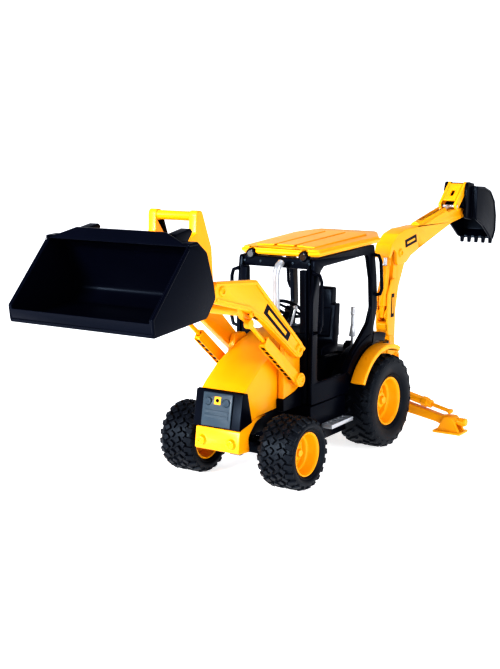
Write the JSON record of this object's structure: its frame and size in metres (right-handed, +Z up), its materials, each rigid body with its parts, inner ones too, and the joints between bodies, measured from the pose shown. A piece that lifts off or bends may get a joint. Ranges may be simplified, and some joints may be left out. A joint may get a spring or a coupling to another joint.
{
  "type": "toy backhoe loader",
  "caption": "Toy construction vehicle with a front loading bucket on lifting arms, an open framed cab, rear digging arm with a small bucket, and folding side stabilisers.",
  "frame": {"origin": "centre of the bounding box in plan, on the floor under the wheels", "axes": "+Z up; -Y the way the vehicle faces, towards the loading bucket; +X its left side"},
  "size_m": [0.1642, 0.5492, 0.1899],
  "materials": {
    "yellow": "smooth moulded gloss",
    "black": "fine satin texture",
    "grey": "satin",
    "silver": "silver metallic plastic",
    "tyre": "matte moulded"
  },
  "bodies": {
    "machine": {"chassis_frame": "black", "front_bumper": "yellow", "hood": "yellow", "grille_surround": "black", "grille_panel": "grey", "cab_tub": "black", "cab_top_frame": "black", "roof": "yellow", "exhaust": "silver", "rear_frame": "black", "rear_axle": "silver", "cab_side_left": "black", "step_left": "silver", "fender_left": "yellow", "loader_tower_left": "yellow", "cab_side_right": "black", "step_right": "silver", "fender_right": "yellow", "loader_tower_right": "yellow"},
    "front_axle": {"front_axle_beam": "black"},
    "tie_rod_body": {"tie_rod": "black"},
    "seat_turntable": {"seat": "black"},
    "steering": {"steering_wheel": "black"},
    "loader": {"arm_cross_member": "yellow", "loader_arm_left": "yellow", "loader_arm_right": "yellow"},
    "bucket": {"hitch_frame": "yellow", "loader_bucket": "black"},
    "swing": {"swing_post": "yellow"},
    "boom_body": {"boom": "yellow"},
    "dipper_body": {"dipper": "yellow"},
    "ram_barrel_body": {"dipper_ram_barrel": "yellow"},
    "ram_rod_body": {"dipper_ram_rod": "silver"},
    "dig_rod_body": {"bucket_ram_rod": "silver"},
    "link_body": {"tipping_link": "yellow"},
    "dig_bucket": {"backhoe_bucket": "black"},
    "lever_left": {"control_lever_left": "silver"},
    "steering_left": {"steering_knuckle_left": "black"},
    "front_wheel_left": {"front_rim_left": "yellow", "front_tyre_left": "tyre"},
    "rear_wheel_left": {"rear_rim_left": "yellow", "rear_tyre_left": "tyre"},
    "lift_barrel_left": {"lift_strut_barrel_left": "yellow"},
    "lift_rod_left": {"lift_strut_rod_left": "yellow"},
    "stabiliser_left": {"stabiliser_leg_left": "yellow"},
    "foot_left": {"stabiliser_foot_left": "yellow"},
    "leg_barrel_left": {"stabiliser_ram_barrel_left": "yellow"},
    "leg_rod_left": {"stabiliser_ram_rod_left": "yellow"},
    "lever_right": {"control_lever_right": "silver"},
    "steering_right": {"steering_knuckle_right": "black"},
    "front_wheel_right": {"front_rim_right": "yellow", "front_tyre_right": "tyre"},
    "rear_wheel_right": {"rear_rim_right": "yellow", "rear_tyre_right": "tyre"},
    "lift_barrel_right": {"lift_strut_barrel_right": "yellow"},
    "lift_rod_right": {"lift_strut_rod_right": "yellow"},
    "stabiliser_right": {"stabiliser_leg_right": "yellow"},
    "foot_right": {"stabiliser_foot_right": "yellow"},
    "leg_barrel_right": {"stabiliser_ram_barrel_right": "yellow"},
    "leg_rod_right": {"stabiliser_ram_rod_right": "yellow"}
  },
  "joints": [
    {"name": "front_axle_rock", "type": "hinge", "parent": "machine", "child": "front_axle", "pos_m": [0, -0.11335, 0.0248], "axis": [0, 1, 0], "range_deg": [-4, 4]},
    {"name": "steer_left", "type": "hinge", "parent": "front_axle", "child": "steering_left", "pos_m": [0.0226, -0.11335, 0.0248], "axis": [0, 0, 1], "range_deg": [-18, 18]},
    {"name": "steer_right", "type": "hinge", "parent": "front_axle", "child": "steering_right", "pos_m": [-0.0226, -0.11335, 0.0248], "axis": [0, 0, 1], "range_deg": [-18, 18]},
    {"name": "tie_rod_slide", "type": "slide", "parent": "front_axle", "child": "tie_rod_body", "axis": [1, 0, 0], "range_m": [-0.0042, 0.0042]},
    {"name": "front_wheel_left_spin", "type": "hinge", "parent": "steering_left", "child": "front_wheel_left", "pos_m": [0.04045, -0.11335, 0.0248], "axis": [1, 0, 0], "continuous": true},
    {"name": "rear_wheel_left_spin", "type": "hinge", "parent": "machine", "child": "rear_wheel_left", "pos_m": [0.0347, 0.00975, 0.035], "axis": [1, 0, 0], "continuous": true},
    {"name": "front_wheel_right_spin", "type": "hinge", "parent": "steering_right", "child": "front_wheel_right", "pos_m": [-0.04045, -0.11335, 0.0248], "axis": [1, 0, 0], "continuous": true},
    {"name": "rear_wheel_right_spin", "type": "hinge", "parent": "machine", "child": "rear_wheel_right", "pos_m": [-0.0347, 0.00975, 0.035], "axis": [1, 0, 0], "continuous": true},
    {"name": "steering_wheel_turn", "type": "hinge", "parent": "machine", "child": "steering", "pos_m": [0, -0.05335, 0.1095], "axis": [0, 0.6392, 0.769], "range_deg": [-180, 180]},
    {"name": "seat_swivel", "type": "hinge", "parent": "machine", "child": "seat_turntable", "pos_m": [0, -0.01235, 0.0695], "axis": [0, 0, 1], "range_deg": [-35, 35]},
    {"name": "lever_left_tilt", "type": "hinge", "parent": "machine", "child": "lever_left", "pos_m": [0.007, 0.02515, 0.071], "axis": [1, 0, 0], "range_deg": [-15, 15]},
    {"name": "lever_right_tilt", "type": "hinge", "parent": "machine", "child": "lever_right", "pos_m": [-0.007, 0.02515, 0.071], "axis": [1, 0, 0], "range_deg": [-15, 15]},
    {"name": "loader_lift", "type": "hinge", "parent": "machine", "child": "loader", "pos_m": [0, -0.08615, 0.0884], "axis": [1, 0, 0], "range_deg": [-10, 49]},
    {"name": "loader_bucket_tilt", "type": "hinge", "parent": "loader", "child": "bucket", "pos_m": [0, -0.17435, 0.14], "axis": [1, 0, 0], "range_deg": [-60, 45]},
    {"name": "lift_ram_left_swing", "type": "hinge", "parent": "machine", "child": "lift_barrel_left", "pos_m": [0.0262, -0.08585, 0.0674], "axis": [1, 0, 0], "range_deg": [-9.01, 44.17]},
    {"name": "lift_ram_left_slide", "type": "slide", "parent": "lift_barrel_left", "child": "lift_rod_left", "axis": [0, -0.7681, 0.6403], "range_m": [-0.01621, 0.00331]},
    {"name": "lift_ram_right_swing", "type": "hinge", "parent": "machine", "child": "lift_barrel_right", "pos_m": [-0.0262, -0.08585, 0.0674], "axis": [1, 0, 0], "range_deg": [-9.01, 44.17]},
    {"name": "lift_ram_right_slide", "type": "slide", "parent": "lift_barrel_right", "child": "lift_rod_right", "axis": [0, -0.7681, 0.6403], "range_m": [-0.01621, 0.00331]},
    {"name": "backhoe_swing", "type": "hinge", "parent": "machine", "child": "swing", "pos_m": [0, 0.08365, 0.046], "axis": [0, 0, 1], "range_deg": [-60, 60]},
    {"name": "boom_lift", "type": "hinge", "parent": "swing", "child": "boom_body", "pos_m": [0, 0.09665, 0.05], "axis": [1, 0, 0], "range_deg": [-50, 5]},
    {"name": "dipper_fold", "type": "hinge", "parent": "boom_body", "child": "dipper_body", "pos_m": [0, 0.10465, 0.133], "axis": [1, 0, 0], "range_deg": [-50, 15]},
    {"name": "dipper_ram_swing", "type": "hinge", "parent": "boom_body", "child": "ram_barrel_body", "pos_m": [0, 0.08745, 0.084], "axis": [1, 0, 0], "range_deg": [-3.18, 0.95]},
    {"name": "dipper_ram_slide", "type": "slide", "parent": "ram_barrel_body", "child": "ram_rod_body", "axis": [0, 0.0946, 0.9955], "range_m": [-0.00304, 0.01013]},
    {"name": "backhoe_bucket_curl", "type": "hinge", "parent": "dipper_body", "child": "dig_bucket", "pos_m": [0, 0.22465, 0.156], "axis": [1, 0, 0], "range_deg": [-30, 30]},
    {"name": "bucket_ram_slide", "type": "slide", "parent": "dipper_body", "child": "dig_rod_body", "axis": [0, 0.982, 0.1891], "range_m": [-0.00975, 0.00975]},
    {"name": "tipping_link_swing", "type": "hinge", "parent": "dig_rod_body", "child": "link_body", "pos_m": [0, 0.20865, 0.1628], "axis": [1, 0, 0], "range_deg": [-8.27, 8.27]},
    {"name": "stabiliser_left_raise", "type": "hinge", "parent": "machine", "child": "stabiliser_left", "pos_m": [0.02, 0.07165, 0.0175], "axis": [0, -1, 0], "range_deg": [0, 55]},
    {"name": "stabiliser_left_ram_swing", "type": "hinge", "parent": "machine", "child": "leg_barrel_left", "pos_m": [0.014, 0.07165, 0.0295], "axis": [0, -1, 0], "range_deg": [0, 51.52]},
    {"name": "stabiliser_left_ram_slide", "type": "slide", "parent": "leg_barrel_left", "child": "leg_rod_left", "axis": [0.9723, 0, -0.2337], "range_m": [-0.01196, 0]},
    {"name": "stabiliser_left_foot_rock", "type": "hinge", "parent": "stabiliser_left", "child": "foot_left", "pos_m": [0.069, 0.07165, 0.01], "axis": [0, 1, 0], "range_deg": [-12, 12]},
    {"name": "stabiliser_right_raise", "type": "hinge", "parent": "machine", "child": "stabiliser_right", "pos_m": [-0.02, 0.07165, 0.0175], "axis": [0, 1, 0], "range_deg": [0, 55]},
    {"name": "stabiliser_right_ram_swing", "type": "hinge", "parent": "machine", "child": "leg_barrel_right", "pos_m": [-0.014, 0.07165, 0.0295], "axis": [0, 1, 0], "range_deg": [0, 51.52]},
    {"name": "stabiliser_right_ram_slide", "type": "slide", "parent": "leg_barrel_right", "child": "leg_rod_right", "axis": [-0.9723, 0, -0.2337], "range_m": [-0.01196, 0]},
    {"name": "stabiliser_right_foot_rock", "type": "hinge", "parent": "stabiliser_right", "child": "foot_right", "pos_m": [-0.069, 0.07165, 0.01], "axis": [0, 1, 0], "range_deg": [-12, 12]}
  ],
  "couplings": [
    {"joint": "steer_right", "follows": "steer_left", "ratio": 1},
    {"joint": "tie_rod_slide", "follows": "steer_left", "m_per_rad": -0.0125},
    {"joint": "lift_ram_left_swing", "follows": "loader_lift", "ratio": 0.88374},
    {"joint": "lift_ram_left_slide", "follows": "loader_lift", "m_per_rad": -0.01858},
    {"joint": "lift_ram_right_swing", "follows": "loader_lift", "ratio": 0.88374},
    {"joint": "lift_ram_right_slide", "follows": "loader_lift", "m_per_rad": -0.01858},
    {"joint": "dipper_ram_swing", "follows": "dipper_fold", "ratio": 0.06242},
    {"joint": "dipper_ram_slide", "follows": "dipper_fold", "m_per_rad": -0.01138},
    {"joint": "bucket_ram_slide", "follows": "backhoe_bucket_curl", "m_per_rad": -0.01826},
    {"joint": "tipping_link_swing", "follows": "backhoe_bucket_curl", "ratio": 0.27027},
    {"joint": "stabiliser_left_ram_swing", "follows": "stabiliser_left_raise", "ratio": 0.91834},
    {"joint": "stabiliser_left_ram_slide", "follows": "stabiliser_left_raise", "m_per_rad": -0.01221},
    {"joint": "stabiliser_right_ram_swing", "follows": "stabiliser_right_raise", "ratio": 0.91834},
    {"joint": "stabiliser_right_ram_slide", "follows": "stabiliser_right_raise", "m_per_rad": -0.01221}
  ]
}
